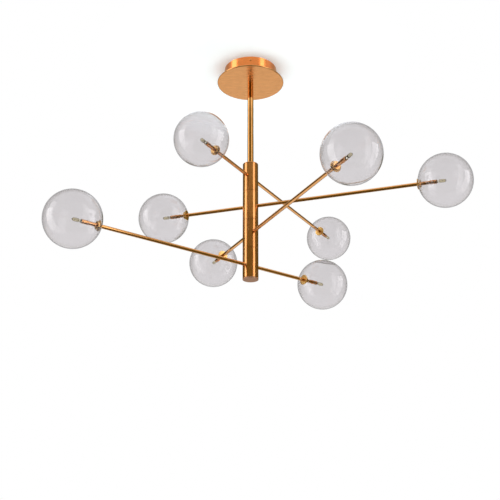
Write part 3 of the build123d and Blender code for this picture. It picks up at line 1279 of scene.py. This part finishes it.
@dataclass(frozen=True)
class Studio:
    """Pale floor, white surroundings, soft lights and the camera."""

    eye_distance: float = 2.407
    eye_height: float = -1.497
    eye_offset: float = -0.0015
    eye_pitch: float = 20.64
    lens: float = 64.9
    sensor: float = 36.0
    nearest: float = 0.05
    farthest: float = 100.0
    glass_room: Tone = (0.56, 0.55, 0.56, 1.0)
    window_middle: float = -0.05
    pane_bearings: Point = (-86.0, 87.0)
    pane_half: Point = (0.26, 0.5)
    pane_glow: float = 5.0
    box_bearings: Point = (-76.0, 53.0)
    box_widths: Point = (2.9, 2.1)
    box_half: Point = (0.24, 0.68)
    box_glow: float = 2.0
    room_by_height: tuple[Point, ...] = (
        (-1.0, 0.08), (-0.75, 0.09), (-0.5, 0.12), (0.0, 0.17), (0.49, 0.2), (0.53, 1.05), (1.0, 1.15),
    )
    room_back: tuple[Point, ...] = ((0.0, 0.0), (0.4, 1.0))
    back_glow: tuple[Point, ...] = ((-0.85, 0.0), (-0.6, 0.84), (-0.35, 0.84), (-0.2, 0.1), (0.0, 0.0))
    back_loss: float = 0.45
    dark_level: float = 0.1
    dark_tone: Tone = (1.0, 0.86, 0.1, 1.0)
    light_level: float = 0.7
    light_tone: Tone = (1.0, 0.985, 0.965, 1.0)
    floor_level: float = -2.6
    floor_half: float = 30.0
    floor_colour: Colour = (0.12, 0.12, 0.12)
    floor_glow: float = 0.96
    ceiling_gap: float = 0.0005
    ceiling_half: float = 0.5
    ceiling_fade: Point = (0.35, 0.95)
    ceiling_tone: Tone = (0.74, 0.8, 0.85, 1.0)
    ceiling_glow: float = 0.3
    wash_radiance: float = 2.15
    wash_side: float = 2.0
    wash_level: float = -1.6

    def build(self) -> None:
        """Build the whole studio."""
        self.build_camera()
        self.build_world()
        self.build_floor()
        self.build_ceiling()
        for name, bearing, width in zip(("left", "right"), self.box_bearings, self.box_widths):
            SoftBox(f"{name}_soft_box", bearing, width, self.box_glow).build()
        self.build_ceiling_wash()
        bpy.context.scene.view_settings.view_transform = "Standard"

    def build_camera(self) -> None:
        """Set the camera up in front of the object, looking up at it."""
        camera = bpy.data.cameras.new("camera")
        camera.sensor_width = self.sensor
        camera.lens = self.lens
        camera.clip_start = self.nearest
        camera.clip_end = self.farthest
        holder = bpy.data.objects.new("camera", camera)
        holder.location = (self.eye_offset, -self.eye_distance, self.eye_height)
        holder.rotation_euler = (math.radians(90.0 + self.eye_pitch), 0.0, 0.0)
        bpy.context.scene.collection.objects.link(holder)
        bpy.context.scene.camera = holder

    def build_world(self) -> None:
        """Make the surroundings: white to look at, and two rooms to be mirrored.

        Metal mirrors a dim warm room with a bright ceiling, and polished glass a pale grey
        one with two bright window panes.
        """
        world = bpy.data.worlds.new("studio")
        bpy.context.scene.world = world
        world.use_nodes = True
        world.node_tree.nodes.clear()
        wiring = Wiring(world.node_tree)
        direction = wiring.nodes.new("ShaderNodeTexCoord").outputs["Generated"]
        brightness = self.room_brightness(wiring, direction)
        warmth = wiring.nodes.new("ShaderNodeValToRGB")
        stops = ((self.dark_level, self.dark_tone), (self.light_level, self.light_tone))
        for stop, (level, tone) in zip(warmth.color_ramp.elements, stops):
            stop.position = level
            stop.color = tone
        wiring.links.new(brightness, warmth.inputs["Fac"])
        room = wiring.background(warmth.outputs["Color"], brightness)
        metal_sees = wiring.mix(wiring.mirrored(), wiring.background(WHITE, 1.0), room)
        panes = wiring.two_windows(direction, self.pane_bearings, self.window_middle, self.pane_half)
        strength = wiring.sum("MULTIPLY_ADD", panes, self.pane_glow, 1.0)
        pale = wiring.background(self.glass_room, strength)
        surface = wiring.mix(wiring.on_polished_glass(), metal_sees, pale)
        out = wiring.nodes.new("ShaderNodeOutputWorld")
        wiring.links.new(surface, out.inputs["Surface"])

    def room_brightness(self, wiring: Wiring, direction: Source) -> Source:
        """Work out the brightness of the room that metal mirrors.

        The soft boxes are added for metal within a globe, which the lamps don't reach.

        Args:
            wiring: The world's wiring.
            direction: The direction looked in.

        Returns:
            The brightness.
        """
        parts = wiring.nodes.new("ShaderNodeSeparateXYZ")
        wiring.links.new(direction, parts.inputs["Vector"])
        height = wiring.ramp(parts.outputs["Z"], self.room_by_height)
        back = wiring.ramp(parts.outputs["Y"], self.room_back)
        glow = wiring.ramp(parts.outputs["Z"], self.back_glow)
        dimmed = wiring.sum("MULTIPLY", height, wiring.sum("MULTIPLY_ADD", back, -self.back_loss, 1.0))
        room = wiring.sum("ADD", dimmed, wiring.sum("MULTIPLY", back, glow))
        deep = wiring.sum("GREATER_THAN", wiring.rays["Transmission Depth"], ONE_WALL_CROSSINGS)
        boxes = wiring.two_windows(direction, self.box_bearings, self.window_middle, self.box_half)
        return wiring.sum("MULTIPLY_ADD", boxes, wiring.sum("MULTIPLY", deep, self.box_glow), room)

    def build_ceiling_wash(self) -> None:
        """Light the ceiling softly from below, so that the canopy shades it a little."""
        light = bpy.data.lights.new("ceiling_wash", "AREA")
        light.size = self.wash_side
        light.energy = self.wash_radiance * math.pi * self.wash_side**2
        lamp = hang_lamp(light, (0.0, 0.0, self.wash_level), (math.pi, 0.0, 0.0))
        lamp.visible_glossy = False

    def build_floor(self) -> None:
        """Lay the pale floor, which mirrors leave out."""
        made = bmesh.new()
        half = self.floor_half
        spots = ((-half, -half), (half, -half), (half, half), (-half, half))
        made.faces.new([made.verts.new((x, y, self.floor_level)) for x, y in spots])
        floor = finish_mesh("pale_floor", made)
        mixer = Mixer("pale_floor")
        mixer.set(Roughness=0.9, Specular_IOR_Level=0.1)
        clouds = mixer.noise(mixer.place(EVEN), 0.8, 2.0)
        mixer.drive("Base Color", mixer.tint(clouds, shade(self.floor_colour, 0.99), self.floor_colour))
        mixer.set(Emission_Color=WHITE, Emission_Strength=self.floor_glow)
        self.leave_out_of_mirrors(mixer)
        dress(floor, mixer.material)
        floor.visible_shadow = False

    def build_ceiling(self) -> None:
        """Hang the white ceiling, which shows only from below and which mirrors leave out."""
        made = bmesh.new()
        half = self.ceiling_half
        spots = ((-half, half), (half, half), (half, -half), (-half, -half))
        made.faces.new([made.verts.new((x, y, self.ceiling_gap)) for x, y in spots])
        mesh = bpy.data.meshes.new("pale_ceiling")
        made.to_mesh(mesh)
        made.free()
        ceiling = bpy.data.objects.new("pale_ceiling", mesh)
        bpy.context.scene.collection.objects.link(ceiling)
        mixer = Mixer("pale_ceiling")
        mixer.set(Base_Color=self.ceiling_tone, Roughness=1.0, Specular_IOR_Level=0.0)
        mixer.set(Emission_Color=WHITE, Emission_Strength=self.ceiling_glow)
        away = mixer.nodes.new("ShaderNodeVectorMath")
        away.operation = "LENGTH"
        where = mixer.nodes.new("ShaderNodeTexCoord").outputs["Object"]
        mixer.links.new(where, away.inputs[0])
        fade = mixer.nodes.new("ShaderNodeMapRange")
        fade.interpolation_type = "SMOOTHSTEP"
        for socket, share in zip(("From Min", "From Max"), self.ceiling_fade):
            fade.inputs[socket].default_value = share * half
        mixer.links.new(away.outputs["Value"], fade.inputs["Value"])
        self.leave_out_of_mirrors(mixer, fade.outputs["Result"])
        dress(ceiling, mixer.material)
        ceiling.visible_shadow = False

    @staticmethod
    def leave_out_of_mirrors(mixer: Mixer, fade: Source | float = 0.0) -> None:
        """Make a stage material clear from behind and in every reflection.

        Args:
            mixer: The material being made.
            fade: A further value, one where the material is clear.
        """
        wiring = Wiring(mixer.material.node_tree)
        behind = wiring.nodes.new("ShaderNodeNewGeometry").outputs["Backfacing"]
        clear = wiring.nodes.new("ShaderNodeBsdfTransparent").outputs["BSDF"]
        hidden = wiring.sum("MAXIMUM", wiring.sum("MAXIMUM", behind, wiring.mirrored()), fade)
        surface = wiring.mix(hidden, mixer.shader.outputs["BSDF"], clear)
        wiring.links.new(surface, wiring.nodes["Material Output"].inputs["Surface"])


def main() -> None:
    """Build the studio and the light."""
    logging.basicConfig(level=logging.INFO, format="%(name)s: %(message)s")
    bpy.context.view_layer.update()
    Studio().build()
    Canopy().build()
    StemAndHub().build()
    for number in (1, 2, 3, 4):
        Arm(number).build()


if __name__ == "__main__":
    main()
